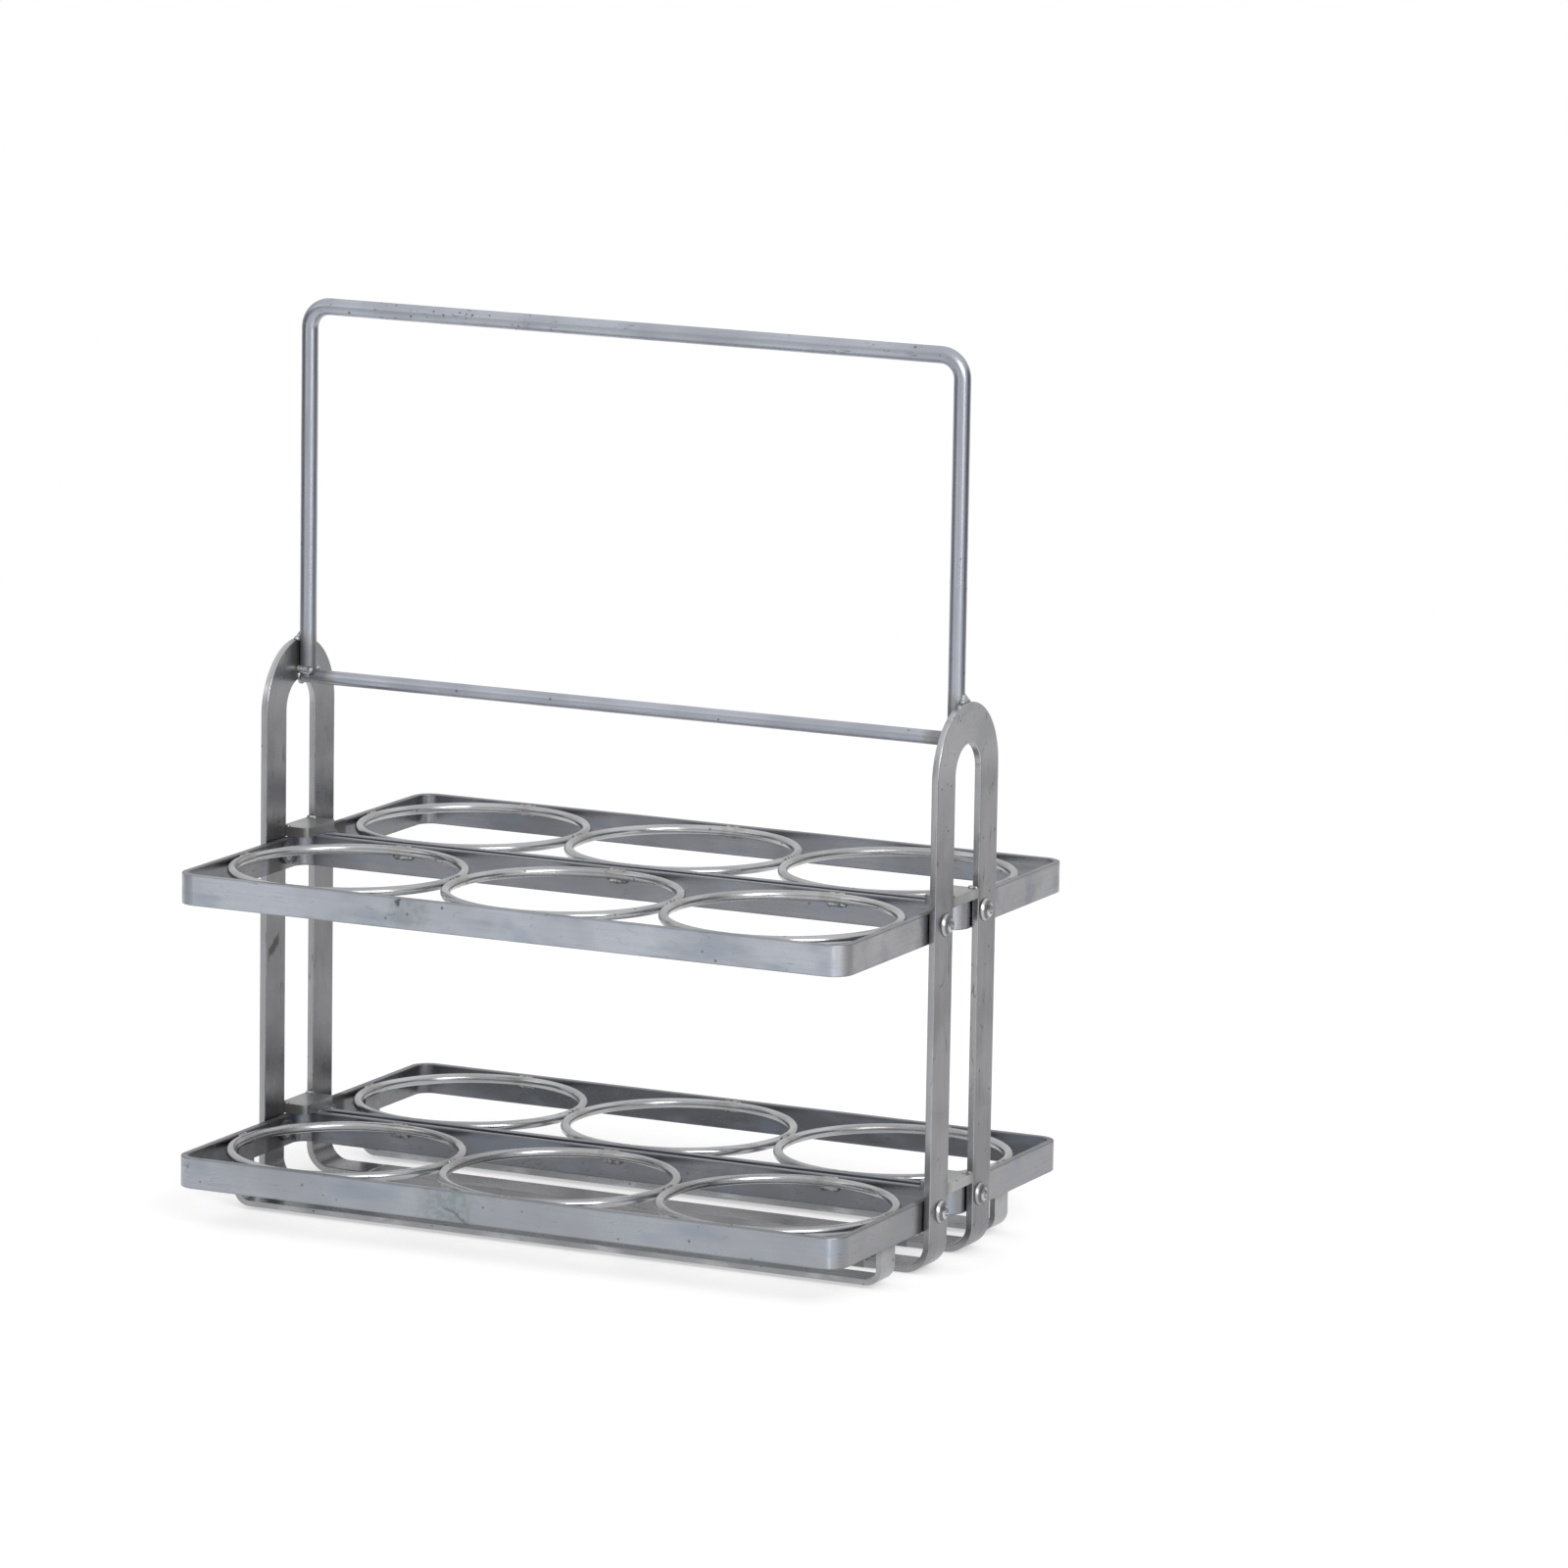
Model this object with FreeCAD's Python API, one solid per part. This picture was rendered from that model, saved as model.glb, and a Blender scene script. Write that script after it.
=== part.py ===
"""Folding bottle caddy: a welded steel carrier for two rows of bottles on two tiers.

Two arched end uprights stand on bent feet that are joined by base straps.  A round-rod handle and
a cross rod tie the arches together.  Each tier is a front and a rear half tray, a flat-bar rim with
a row of wire rings, that hangs on two rivets and folds up against the uprights.

Frame: millimetres, +X along the row of bottles, -Y to the front, +Z up, origin on the floor under
the middle of the caddy.
"""
import FreeCAD, Part
import os

from FreeCAD import Vector

# Bottle cells
bottles_per_row = 3
ring_pitch = 85.0
ring_wire = 3.5
ring_rise = -2.0
weld_sink = 0.3

# Flat-bar rims of the half trays
bar_thickness = 2.5
bar_height = 11.0
bar_bend_radius = 7.5
bar_edge_round = 0.35
centre_gap = 4.0

# Tiers and their pivots
lower_rim_top = 26.0
tier_spacing = 101.5
pivot_drop = 5.0
pivot_offset = 1.55

# End uprights and base
leg_width = 14.5
slot_width = 21.0
upright_thickness = 2.5
arch_top = 198.0
foot_bend_radius = 10.0
foot_run = 15.0
upright_edge_round = 0.35
side_clearance = 0.4

# Handle and cross rod
handle_rod = 6.0
handle_top = 318.0
handle_bend_radius = 8.0
cross_rod_diameter = 5.0
cross_rod_lift = 1.0

# Stop plates that the loaded half trays bear against
stop_thickness = 3.5
stop_reach = 9.0
stop_corner_radius = 2.0

# Rivets, which are the hinge pins
rivet_shank = 5.0
rivet_head = 8.4
rivet_head_height = 2.6
rivet_dimple = 3.0
rivet_dimple_depth = 0.7
rivet_tail_head = 7.6
rivet_tail_height = 1.5
rivet_tail_gap = 0.2
running_clearance = 0.08
shank_clearance = 0.03

# Bottle rests under the lower half trays
rest_width = 11.0
rest_thickness = 2.0
rest_bend_radius = 6.0
rest_lift = 1.0
rest_lap = 7.0

# Sizes and places that follow from the driving dimensions
cell_length = bottles_per_row * ring_pitch
rim_half_length = cell_length / 2 + bar_thickness
half_depth = ring_pitch + 2 * bar_thickness
ring_row_y = centre_gap / 2 + half_depth / 2
wire_radius = ring_wire / 2
ring_centreline_radius = ring_pitch / 2 + weld_sink - wire_radius
upright_inner_x = rim_half_length + side_clearance
upright_outer_x = upright_inner_x + upright_thickness
slot_half = slot_width / 2
leg_outer_y = slot_half + leg_width
pivot_y = slot_half + leg_width / 2 - pivot_offset
spring_line = arch_top - leg_outer_y
slot_top = arch_top - leg_width
cross_rod_z = slot_top + cross_rod_lift
handle_half_span = upright_inner_x - handle_rod / 2 + weld_sink
foot_end_x = upright_outer_x - foot_bend_radius - foot_run
rim_tops = {"lower": lower_rim_top, "upper": lower_rim_top + tier_spacing}
row_sides = {"front": -1, "rear": 1}
end_sides = {"left": -1, "right": 1}
x_axis = Vector(1, 0, 0)
y_axis = Vector(0, 1, 0)
z_axis = Vector(0, 0, 1)


def box(x_range, y_range, z_range):
    """Block between two values on each axis."""
    size = [span[1] - span[0] for span in (x_range, y_range, z_range)]
    return Part.makeBox(*size, Vector(x_range[0], y_range[0], z_range[0]))


def at_end(shape, side):
    """Piece modelled at the right end, mirrored to the left end when side is -1."""
    if side > 0:
        return shape
    return shape.mirror(Vector(0, 0, 0), x_axis)


def at_row(shape, side):
    """Piece modelled for the front row, mirrored to the rear row when side is 1."""
    if side < 0:
        return shape
    return shape.mirror(Vector(0, 0, 0), y_axis)


def rounded_rectangle(x_range, y_range, radius, z):
    """Face with four equal round corners."""
    x0, x1 = x_range
    y0, y1 = y_range
    corners = [
        (Vector(x1 - radius, y0 + radius, z), 270),
        (Vector(x1 - radius, y1 - radius, z), 0),
        (Vector(x0 + radius, y1 - radius, z), 90),
        (Vector(x0 + radius, y0 + radius, z), 180),
    ]
    arcs = [Part.makeCircle(radius, centre, z_axis, start, start + 90) for centre, start in corners]
    edges = []
    for index, arc in enumerate(arcs):
        following = arcs[(index + 1) % len(arcs)]
        edges.append(arc)
        edges.append(Part.makeLine(arc.Vertexes[-1].Point, following.Vertexes[0].Point))
    return Part.Face(Part.Wire(Part.__sortEdges__(edges)))


def rim(top):
    """Front half tray's rim: flat bar on edge, bent to a closed rectangle, with two pivot holes."""
    bottom = top - bar_height
    outer_x = (-rim_half_length, rim_half_length)
    outer_y = (-centre_gap / 2 - half_depth, -centre_gap / 2)
    inner_x = (outer_x[0] + bar_thickness, outer_x[1] - bar_thickness)
    inner_y = (outer_y[0] + bar_thickness, outer_y[1] - bar_thickness)
    inner_radius = bar_bend_radius - bar_thickness
    outside = rounded_rectangle(outer_x, outer_y, bar_bend_radius, bottom)
    inside = rounded_rectangle(inner_x, inner_y, inner_radius, bottom)
    bar = outside.extrude(z_axis * bar_height).cut(inside.extrude(z_axis * bar_height))
    long_edges = [edge for edge in bar.Edges if edge.BoundBox.ZLength < bar_height / 2]
    bar = bar.makeFillet(bar_edge_round, long_edges)
    hole_radius = rivet_shank / 2 + running_clearance
    hole_start = Vector(-upright_outer_x, -pivot_y, top - pivot_drop)
    return bar.cut(Part.makeCylinder(hole_radius, 2 * upright_outer_x, hole_start, x_axis))


def ring(column, top, seat):
    """Bottle ring of round wire, with weld flats against the rim and the neighbouring rings."""
    centre_x = (column - (bottles_per_row - 1) / 2) * ring_pitch
    centre = Vector(centre_x, -ring_row_y, top + ring_rise)
    wire = Part.makeTorus(ring_centreline_radius, wire_radius, centre, z_axis)
    outer_columns = (0, bottles_per_row - 1)
    left_reach = ring_pitch if column == outer_columns[0] else ring_pitch / 2
    right_reach = ring_pitch if column == outer_columns[1] else ring_pitch / 2
    cell = box(
        (centre_x - left_reach, centre_x + right_reach),
        (-ring_row_y - ring_pitch, -ring_row_y + ring_pitch),
        (centre.z - ring_wire, centre.z + ring_wire),
    )
    return wire.common(cell).cut(seat)


def bottle_rest(top):
    """Flat strap that hangs from both ends of a lower rim and carries the bottles' bases."""
    outer_x = cell_length / 2
    strap_end = top - bar_height + rest_lap
    bend_x = outer_x - rest_bend_radius
    bend_z = rest_lift + rest_bend_radius
    inner_radius = rest_bend_radius - rest_thickness
    right_bend = Vector(bend_x, 0, bend_z)
    left_bend = Vector(-bend_x, 0, bend_z)
    slant = Vector(1, 0, -1).normalize()
    left_slant = Vector(-1, 0, -1).normalize()

    def corner_arc(centre, direction, radius):
        side = Vector(direction.x, 0, 0).normalize()
        first = centre + side * radius
        last = centre - z_axis * radius
        return Part.Arc(first, centre + direction * radius, last).toShape()

    outside_right = corner_arc(right_bend, slant, rest_bend_radius)
    inside_right = corner_arc(right_bend, slant, inner_radius)
    outside_left = corner_arc(left_bend, left_slant, rest_bend_radius)
    inside_left = corner_arc(left_bend, left_slant, inner_radius)
    tops = [
        Vector(outer_x, 0, strap_end),
        Vector(outer_x - rest_thickness, 0, strap_end),
        Vector(-outer_x + rest_thickness, 0, strap_end),
        Vector(-outer_x, 0, strap_end),
    ]
    edges = [
        outside_right,
        Part.makeLine(right_bend - z_axis * rest_bend_radius, left_bend - z_axis * rest_bend_radius),
        outside_left,
        Part.makeLine(left_bend - x_axis * rest_bend_radius, tops[3]),
        Part.makeLine(tops[3], tops[2]),
        Part.makeLine(tops[2], left_bend - x_axis * inner_radius),
        inside_left,
        Part.makeLine(left_bend - z_axis * inner_radius, right_bend - z_axis * inner_radius),
        inside_right,
        Part.makeLine(right_bend + x_axis * inner_radius, tops[1]),
        Part.makeLine(tops[1], tops[0]),
        Part.makeLine(tops[0], right_bend + x_axis * rest_bend_radius),
    ]
    profile = Part.Face(Part.Wire(Part.__sortEdges__(edges)))
    profile.translate(y_axis * (-ring_row_y - rest_width / 2))
    return profile.extrude(y_axis * rest_width)


def upright():
    """Right end upright: an arched plate with two legs, each bent inward to a foot."""
    centre = Vector(upright_inner_x, 0, spring_line)
    leg_bottom = foot_bend_radius

    def arch_edge(radius):
        ends = [centre - y_axis * radius, centre + y_axis * radius]
        return Part.Arc(ends[0], centre + z_axis * radius, ends[1]).toShape()

    def leg_edge(y):
        return Part.makeLine(Vector(upright_inner_x, y, leg_bottom), Vector(upright_inner_x, y, spring_line))

    def leg_end(y0, y1):
        return Part.makeLine(Vector(upright_inner_x, y0, leg_bottom), Vector(upright_inner_x, y1, leg_bottom))

    edges = [arch_edge(leg_outer_y), arch_edge(slot_half)]
    edges += [leg_edge(y) for y in (-leg_outer_y, -slot_half, slot_half, leg_outer_y)]
    edges += [leg_end(-leg_outer_y, -slot_half), leg_end(slot_half, leg_outer_y)]
    plate = Part.Face(Part.Wire(Part.__sortEdges__(edges))).extrude(x_axis * upright_thickness)
    for foot_y in (-leg_outer_y, slot_half):
        plate = plate.fuse(foot(foot_y))
    plate = plate.removeSplitter()
    long_edges = [edge for edge in plate.Edges if is_outline_edge(edge)]
    plate = plate.makeFillet(upright_edge_round, long_edges)
    for z in pivot_heights():
        hole_radius = rivet_shank / 2 + shank_clearance
        for y in (-pivot_y, pivot_y):
            start = Vector(upright_inner_x - upright_thickness, y, z)
            plate = plate.cut(Part.makeCylinder(hole_radius, 3 * upright_thickness, start, x_axis))
    return plate


def is_outline_edge(edge):
    """True for the edges along an upright's bar, false for those across it."""
    return edge.BoundBox.XLength > upright_thickness * 1.5 or edge.BoundBox.ZLength > upright_thickness * 1.5


def foot(start_y):
    """Bend and short flat run that turn a leg inward on the floor."""
    bend = Vector(upright_outer_x - foot_bend_radius, start_y, foot_bend_radius)
    inner_radius = foot_bend_radius - upright_thickness
    slant = Vector(1, 0, -1).normalize()

    def bend_arc(radius):
        return Part.Arc(bend + x_axis * radius, bend + slant * radius, bend - z_axis * radius).toShape()

    run_top = Vector(foot_end_x, start_y, upright_thickness)
    run_bottom = Vector(foot_end_x, start_y, 0)
    edges = [
        bend_arc(foot_bend_radius),
        bend_arc(inner_radius),
        Part.makeLine(bend + x_axis * inner_radius, bend + x_axis * foot_bend_radius),
        Part.makeLine(bend - z_axis * foot_bend_radius, run_bottom),
        Part.makeLine(run_bottom, run_top),
        Part.makeLine(run_top, bend - z_axis * inner_radius),
    ]
    return Part.Face(Part.Wire(Part.__sortEdges__(edges))).extrude(y_axis * leg_width)


def base_strap():
    """Front strap that joins the two front feet along the floor."""
    return box((-foot_end_x, foot_end_x), (-leg_outer_y, -slot_half), (0, upright_thickness))


def cross_rod():
    """Round rod between the crowns of the two arches."""
    start = Vector(-upright_inner_x, 0, cross_rod_z)
    return Part.makeCylinder(cross_rod_diameter / 2, 2 * upright_inner_x, start, x_axis)


def carry_handle(rod, uprights):
    """Round-rod bail, saddled on the cross rod and welded flat against both arches."""
    span = handle_half_span
    radius = handle_bend_radius
    slant = Vector(1, 0, 1).normalize()
    left_slant = Vector(-1, 0, 1).normalize()
    right_bend = Vector(span - radius, 0, handle_top - radius)
    left_bend = Vector(-span + radius, 0, handle_top - radius)
    right_arc = Part.Arc(right_bend + x_axis * radius, right_bend + slant * radius, right_bend + z_axis * radius)
    left_arc = Part.Arc(left_bend + z_axis * radius, left_bend + left_slant * radius, left_bend - x_axis * radius)
    start = Vector(span, 0, cross_rod_z)
    finish = Vector(-span, 0, cross_rod_z)
    path = Part.Wire([
        Part.makeLine(start, right_bend + x_axis * radius),
        right_arc.toShape(),
        Part.makeLine(right_bend + z_axis * radius, left_bend + z_axis * radius),
        left_arc.toShape(),
        Part.makeLine(left_bend - x_axis * radius, finish),
    ])
    section = Part.Wire(Part.makeCircle(handle_rod / 2, start, z_axis))
    bail = path.makePipeShell([section], True, False)
    below_seat = box((-upright_outer_x, upright_outer_x), (-handle_rod, handle_rod), (0, cross_rod_z))
    return bail.cut(below_seat).cut(rod).cut(uprights[0]).cut(uprights[1])


def stop_plate(top):
    """Plate welded across the right upright's slot, just above the trays' inner ends."""
    x_range = (upright_inner_x - stop_reach, upright_outer_x)
    plate = box(x_range, (-slot_half, slot_half), (top, top + stop_thickness))
    inboard = [
        edge for edge in plate.Edges
        if edge.BoundBox.ZLength > stop_thickness / 2 and edge.BoundBox.XMax < upright_inner_x
    ]
    return plate.makeFillet(stop_corner_radius, inboard)


def pivot_heights():
    """Heights of the hinge axes, lower tier first."""
    return [top - pivot_drop for top in rim_tops.values()]


def rivet(z):
    """Right front rivet: domed head with a dimple outside, shank, and a flat tail head inside."""
    head_face = upright_outer_x
    tail_face = rim_half_length - bar_thickness - rivet_tail_gap
    dome_radius = ((rivet_head / 2) ** 2 + rivet_head_height ** 2) / (2 * rivet_head_height)
    dome_centre = Vector(head_face + rivet_head_height - dome_radius, -pivot_y, z)
    on_axis = Vector(0, -pivot_y, z)
    dome = Part.makeSphere(dome_radius, dome_centre)
    head_space = Part.makeCylinder(rivet_head / 2, rivet_head_height, on_axis + x_axis * head_face, x_axis)
    dimple_start = on_axis + x_axis * (head_face + rivet_head_height - rivet_dimple_depth)
    dimple = Part.makeCylinder(rivet_dimple / 2, rivet_head_height, dimple_start, x_axis)
    head = dome.common(head_space).cut(dimple)
    tail_start = on_axis + x_axis * (tail_face - rivet_tail_height)
    tail = Part.makeCylinder(rivet_tail_head / 2, rivet_tail_height, tail_start, x_axis)
    shank = Part.makeCylinder(rivet_shank / 2, head_face - tail_face, on_axis + x_axis * tail_face, x_axis)
    return head.fuse([shank, tail]).removeSplitter()


def build():
    """Every piece of the caddy in place, by node name."""
    pieces = {}
    right = upright()
    uprights = {name: at_end(right, side) for name, side in end_sides.items()}
    for name, shape in uprights.items():
        pieces[name + "_upright"] = shape
    for row, side in row_sides.items():
        pieces["base_strap_" + row] = at_row(base_strap(), side)
    pieces["cross_rod"] = cross_rod()
    pieces["carry_handle"] = carry_handle(pieces["cross_rod"], list(uprights.values()))
    for tier, top in rim_tops.items():
        front_rim = rim(top)
        for end, end_side in end_sides.items():
            pieces[f"{tier}_stop_plate_{end}"] = at_end(stop_plate(top), end_side)
            for row, row_side in row_sides.items():
                pin = at_row(rivet(top - pivot_drop), row_side)
                pieces[f"{tier}_{row}_rivet_{end}"] = at_end(pin, end_side)
        for row, row_side in row_sides.items():
            pieces[f"{tier}_{row}_rim"] = at_row(front_rim, row_side)
            for column in range(bottles_per_row):
                wire = at_row(ring(column, top, front_rim), row_side)
                pieces[f"{tier}_{row}_ring_{column + 1}"] = wire
    for row, row_side in row_sides.items():
        pieces["bottle_rest_" + row] = at_row(bottle_rest(lower_rim_top), row_side)
    return pieces


os.makedirs("parts", exist_ok=True)
for node, shape in build().items():
    print(node, shape.isValid(), len(shape.Solids), round(shape.Volume, 1))
    shape.exportStep("parts/" + node + ".step")
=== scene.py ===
"""A folding two-tier bottle caddy of steel strap, bar and wire: its finishes, welds and picture."""

import math

import bpy
from mathutils import Matrix, Vector


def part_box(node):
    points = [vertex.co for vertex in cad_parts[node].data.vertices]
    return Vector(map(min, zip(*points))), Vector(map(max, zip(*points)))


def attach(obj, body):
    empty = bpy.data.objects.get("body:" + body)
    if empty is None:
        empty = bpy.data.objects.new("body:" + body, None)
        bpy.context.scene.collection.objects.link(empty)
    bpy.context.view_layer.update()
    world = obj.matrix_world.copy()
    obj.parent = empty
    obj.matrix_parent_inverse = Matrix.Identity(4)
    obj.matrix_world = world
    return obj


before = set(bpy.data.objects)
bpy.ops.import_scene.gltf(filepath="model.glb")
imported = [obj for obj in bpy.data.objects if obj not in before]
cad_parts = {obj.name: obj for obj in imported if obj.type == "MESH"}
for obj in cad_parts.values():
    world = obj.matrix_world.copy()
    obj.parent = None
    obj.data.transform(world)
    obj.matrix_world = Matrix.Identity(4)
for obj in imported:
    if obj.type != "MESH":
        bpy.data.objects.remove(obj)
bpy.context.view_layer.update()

# The view: from the right of the front and a little above the upper tier, through a long lens
# that is held a degree off level. Nothing here is part of the caddy.
view_turn = math.radians(25.709)
view_rise = math.radians(10.298)
view_roll = math.radians(0.915)
view_distance = 3.0959
view_target = Vector((0.06213, 0.0, 0.16276))
picture_side = 1600
lens_in_pixels = 9042.7
film_width = 36.0

backward = Vector((
    math.sin(view_turn) * math.cos(view_rise),
    -math.cos(view_turn) * math.cos(view_rise),
    math.sin(view_rise),
))
level_right = Vector((math.cos(view_turn), math.sin(view_turn), 0.0))
level_up = backward.cross(level_right)
rolled_right = math.cos(view_roll) * level_right + math.sin(view_roll) * level_up
rolled_up = math.cos(view_roll) * level_up - math.sin(view_roll) * level_right

lens = bpy.data.cameras.new("view_lens")
lens.sensor_fit = "HORIZONTAL"
lens.sensor_width = film_width
lens.lens = lens_in_pixels / picture_side * film_width
lens.clip_end = 50.0
view = bpy.data.objects.new("view", lens)
view_axes = Matrix((rolled_right, rolled_up, backward)).transposed()
view.matrix_world = Matrix.Translation(view_target + view_distance * backward) @ view_axes.to_4x4()
bpy.context.scene.collection.objects.link(view)
bpy.context.scene.camera = view
bpy.context.scene.view_settings.view_transform = "Standard"

# The two uprights: mild steel strap bent hot into a long arch, its legs turned in at the bottom as feet.
# The strap keeps the lines of the rolling mill along its length. It is paler over the arch, and has a
# brown and blue bloom where the stop plates and the rods were welded to it. Painted shade darkens it low
# on the legs and on its inner faces, and a painted highlight, with some wear, runs along its edges.


def far_side(node, axis):
    """The far side of a node along an axis, in millimetres."""
    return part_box(node)[1][axis] * 1000.0


strap_half_outer = far_side("right_upright", 1)
strap_half_inner = far_side("upper_stop_plate_right", 1)
strap_face_outer = far_side("right_upright", 0)
arch_top = far_side("right_upright", 2)
arch_spring = arch_top - strap_half_outer
tiers = ("lower", "upper")
rows = ("front", "rear")
tier_tops = [far_side(f"{tier}_front_rim", 2) for tier in tiers]
crown_height = 18.0
leg_shade = (165.0, 110.0)
smudge_y = -19.0
smudge_height = 89.0
smudge_slope = 0.6
strap_polish = 0.21
strap_light = (0.295, 0.295, 0.31, 1.0)
strap_dark = (0.185, 0.185, 0.195, 1.0)
strap_band_blue = (0.15, 0.155, 0.18, 1.0)
strap_inside_painted_shade = (0.135, 0.135, 0.145, 1.0)
strap_low_painted_shade = (0.09, 0.09, 0.1, 1.0)
bloom_brown = (0.24, 0.225, 0.19, 1.0)
bloom_blue = (0.15, 0.165, 0.195, 1.0)
pit_black = (0.035, 0.033, 0.030, 1.0)
wear_and_highlight_bright = (0.55, 0.555, 0.575, 1.0)


class Shade:
    """One output of a material's nodes. Sums on it add Math nodes to the same material."""

    def __init__(self, tree, socket):
        self.tree = tree
        self.socket = socket

    def node(self, kind, settings, sockets, output=0):
        """A new node of a kind: its settings, then the values or links of its sockets."""
        made = self.tree.nodes.new(kind)
        for key, value in settings.items():
            setattr(made, key, value)
        for key, value in sockets.items():
            if isinstance(value, Shade):
                self.tree.links.new(value.socket, made.inputs[key])
            else:
                made.inputs[key].default_value = value
        return Shade(self.tree, made.outputs[output])

    def sum(self, operation, left, right):
        """A Math node on two values."""
        return self.node("ShaderNodeMath", {"operation": operation}, {0: left, 1: right})

    def __add__(self, other):
        return self.sum("ADD", self, other)

    __radd__ = __add__

    def __sub__(self, other):
        return self.sum("SUBTRACT", self, other)

    def __rsub__(self, other):
        return self.sum("SUBTRACT", other, self)

    def __mul__(self, other):
        return self.sum("MULTIPLY", self, other)

    __rmul__ = __mul__

    def __abs__(self):
        return self.node("ShaderNodeMath", {"operation": "ABSOLUTE"}, {0: self})

    def axes(self):
        """The three numbers of a place."""
        parted = self.node("ShaderNodeSeparateXYZ", {}, {0: self})
        outlets = parted.socket.node.outputs
        return [Shade(self.tree, outlet) for outlet in outlets]


def new_steel(name):
    """An empty metal, and the place on the piece in millimetres that its marks are laid out by."""
    material = bpy.data.materials.new(name)
    material.use_nodes = True
    tree = material.node_tree
    corner = Shade(tree, tree.nodes.new("ShaderNodeTexCoord").outputs["Object"])
    place = corner.node("ShaderNodeVectorMath", {"operation": "SCALE"}, {0: corner, "Scale": 1000.0})
    return material, place


def rise(value, low, high):
    """Nought up to low and one from high, with a soft step between."""
    bounds = {"Value": value, "From Min": low, "From Max": high}
    return value.node("ShaderNodeMapRange", {"interpolation_type": "SMOOTHSTEP"}, bounds)


def cloud(place, stretch, size, detail=3.0):
    """Soft noise with lumps of a size, drawn out where the stretch is under one."""
    drawn = place.node("ShaderNodeVectorMath", {"operation": "MULTIPLY"}, {0: place, 1: stretch})
    return place.node("ShaderNodeTexNoise", {}, {"Vector": drawn, "Scale": 1 / size, "Detail": detail})


def away(along, across):
    """How far a place is from a centre, from its distances along and across."""
    return along.node("ShaderNodeMath", {"operation": "SQRT"}, {0: along * along + across * across})


def laid_along(across, along, depth):
    """A place on a strip: across it, along it and into it."""
    return across.node("ShaderNodeCombineXYZ", {}, {0: across, 1: along, 2: depth})


def blend(mask, under, over):
    """One colour laid over another by a mask."""
    return mask.node("ShaderNodeMix", {"data_type": "RGBA"}, {0: mask, 6: under, 7: over}, 2)


def pits(place, size, share):
    """Scattered small spots: a share of the cells of a grid of a size hold one."""
    cells = place.node("ShaderNodeTexVoronoi", {}, {"Vector": place, "Scale": 1 / size})
    outlets = cells.socket.node.outputs
    chance = Shade(place.tree, outlets["Color"]).axes()[0]
    return rise(cells, 0.42, 0.2) * rise(chance, share, share * 0.8)


def scratches(place, stretch, size):
    """Stray hairlines: the thin middle bands of a noise drawn out along the stretch."""
    field = cloud(place, stretch, size, 1.0)
    broken = rise(cloud(place, (1, 1, 1), size * 4, 1.0), 0.5, 0.62)
    return rise(abs(field - 0.5), 0.012, 0.004) * broken


def drawn_skin(place, lines, light, dark, polish):
    """Colour, roughness and height of rolled or drawn steel: mill lines, dull patches and a rare pit."""
    dull = rise(cloud(place, (1, 1, 1), 26.0), 0.36, 0.68)
    streak = rise(lines, 0.35, 0.75)
    hole = pits(place, 1.7, 0.012)
    colour = blend(dull * 0.45, light, dark)
    colour = blend(streak * 0.22, colour, dark)
    colour = blend(hole * 0.6, colour, pit_black)
    roughness = polish + 0.11 * dull + 0.06 * streak + 0.2 * hole
    height = 0.003 * lines - 0.03 * hole
    return colour, roughness, height


def heat_bloom(colour, roughness, heat, place):
    """Oxide colours round a weld: blue close in, brown at the rim, broken by a ragged edge."""
    ragged = heat + 0.5 * (cloud(place, (1, 1, 1), 3.5) - 0.5)
    colour = blend(rise(ragged, 0.15, 0.5) * 0.5, colour, bloom_brown)
    colour = blend(rise(ragged, 0.5, 0.85) * 0.6, colour, bloom_blue)
    return colour, roughness + 0.12 * rise(ragged, 0.2, 0.7)


def finish_steel(material, colour, roughness, height):
    """Join the marks to the metal's shader. The height is in millimetres."""
    shader = material.node_tree.nodes["Principled BSDF"]
    shader.inputs["Metallic"].default_value = 1.0
    relief = height.node("ShaderNodeBump", {}, {"Strength": 0.8, "Distance": 0.001, "Height": height})
    links = material.node_tree.links
    links.new(colour.socket, shader.inputs["Base Color"])
    links.new(roughness.socket, shader.inputs["Roughness"])
    links.new(relief.socket, shader.inputs["Normal"])


def give(material, *names):
    """Put a finish on nodes of the caddy."""
    for name in names:
        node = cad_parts[name]
        for index in range(len(node.data.materials)):
            node.data.materials[index] = material


upright_finish, place = new_steel("upright_strap_steel")
x, y, z = place.axes()
above_spring = z.sum("MAXIMUM", z - arch_spring, 0.0)
across = away(y, above_spring)
mill_lines = cloud(laid_along(across, z, x), (1.0, 0.03, 1.0), 0.9)
colour, roughness, height = drawn_skin(place, mill_lines, strap_light, strap_dark, strap_polish)
middle = (strap_half_outer + strap_half_inner) / 2
half_width = (strap_half_outer - strap_half_inner) / 2
band = rise(cloud(place, (0.3, 0.3, 1.0), 22.0), 0.52, 0.7)
colour = blend(band * 0.35, colour, strap_band_blue)
inward = rise(abs(x), strap_face_outer - 0.7, strap_face_outer - 1.6)
# Painted shade: darker towards the bottom of the legs.
colour = blend(rise(z, *leg_shade) * 0.35, colour, strap_low_painted_shade)
crown = rise(z, arch_spring - 6.0, arch_spring + 8.0)
colour = blend(crown * 0.36, colour, wear_and_highlight_bright)
# Painted shade on the inner faces of the strap.
colour = blend(inward * 0.38, colour, strap_inside_painted_shade)
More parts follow.
